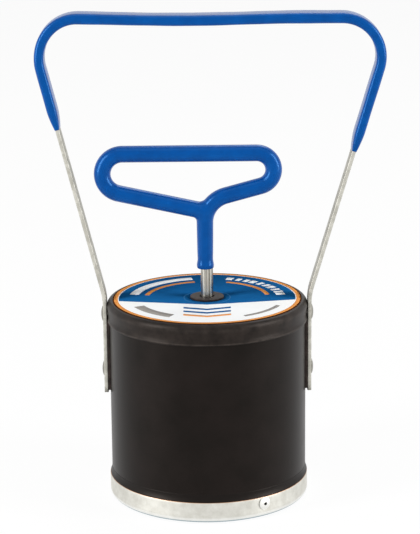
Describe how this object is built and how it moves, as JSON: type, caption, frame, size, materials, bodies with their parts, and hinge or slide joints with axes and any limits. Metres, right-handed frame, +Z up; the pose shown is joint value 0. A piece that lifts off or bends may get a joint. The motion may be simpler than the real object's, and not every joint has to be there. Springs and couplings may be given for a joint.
{
  "type": "magnetic parts lifter",
  "caption": "Hand-held magnetic pick-up tool: a plastic can with a metal pan, a riveted carry handle, and a coated loop that lifts the magnet inside to drop the load",
  "frame": {"origin": "middle of the pan's underside, where the tool stands on a bench", "axes": "+Z up along the can's axis, X across both handles (the width), -Y towards the viewer of the picture"},
  "size_m": [0.2207, 0.1296, 0.3144],
  "materials": {
    "tube_plastic": "black extruded plastic, satin",
    "cap_vinyl": "soft black vinyl",
    "label_print": "printed film, white and blue with an orange rim",
    "black_rubber": "black rubber",
    "pan_metal": "pale drawn sheet, non-magnetic",
    "sealant": "black sealant, smooth",
    "rivet_metal": "plain aluminium",
    "mandrel_steel": "broken steel stem",
    "strap_metal": "zinc coated, dull",
    "grip_vinyl": "blue dipped vinyl, semi-gloss",
    "zinc_steel": "zinc plated",
    "ferrite": "fired ferrite, matt",
    "plate_steel": "plain steel plate",
    "rod_steel": "bright drawn rod",
    "nylon": "coloured nylon"
  },
  "bodies": {
    "can": {"can_tube": "tube_plastic", "top_cap": "cap_vinyl", "top_label": "label_print", "rod_grommet": "black_rubber", "bottom_pan": "pan_metal", "pan_seal": "sealant", "pan_rivets": "rivet_metal", "pan_rivet_mandrels": "mandrel_steel", "carry_strap": "strap_metal", "carry_grip": "grip_vinyl", "strap_pads": "black_rubber", "upper_strap_rivets": "rivet_metal", "lower_strap_rivets": "rivet_metal", "strap_rivet_mandrels": "mandrel_steel", "backing_washers": "zinc_steel"},
    "magnet": {"ring_magnet": "ferrite", "back_plate": "plate_steel"},
    "plunger": {"lift_rod": "rod_steel", "loop_grip": "grip_vinyl", "bump_stop": "black_rubber", "upper_nut": "zinc_steel", "upper_washer": "zinc_steel", "lower_washer": "zinc_steel", "lock_nut": "zinc_steel", "lock_nut_ring": "nylon"}
  },
  "joints": [
    {"name": "magnet_lift", "type": "slide", "parent": "can", "child": "magnet", "axis": [0, 0, 1], "range_m": [0, 0.07]},
    {"name": "handle_turn", "type": "hinge", "parent": "magnet", "child": "plunger", "pos_m": [0, 0, 0.024], "axis": [0, 0, 1], "continuous": true}
  ]
}
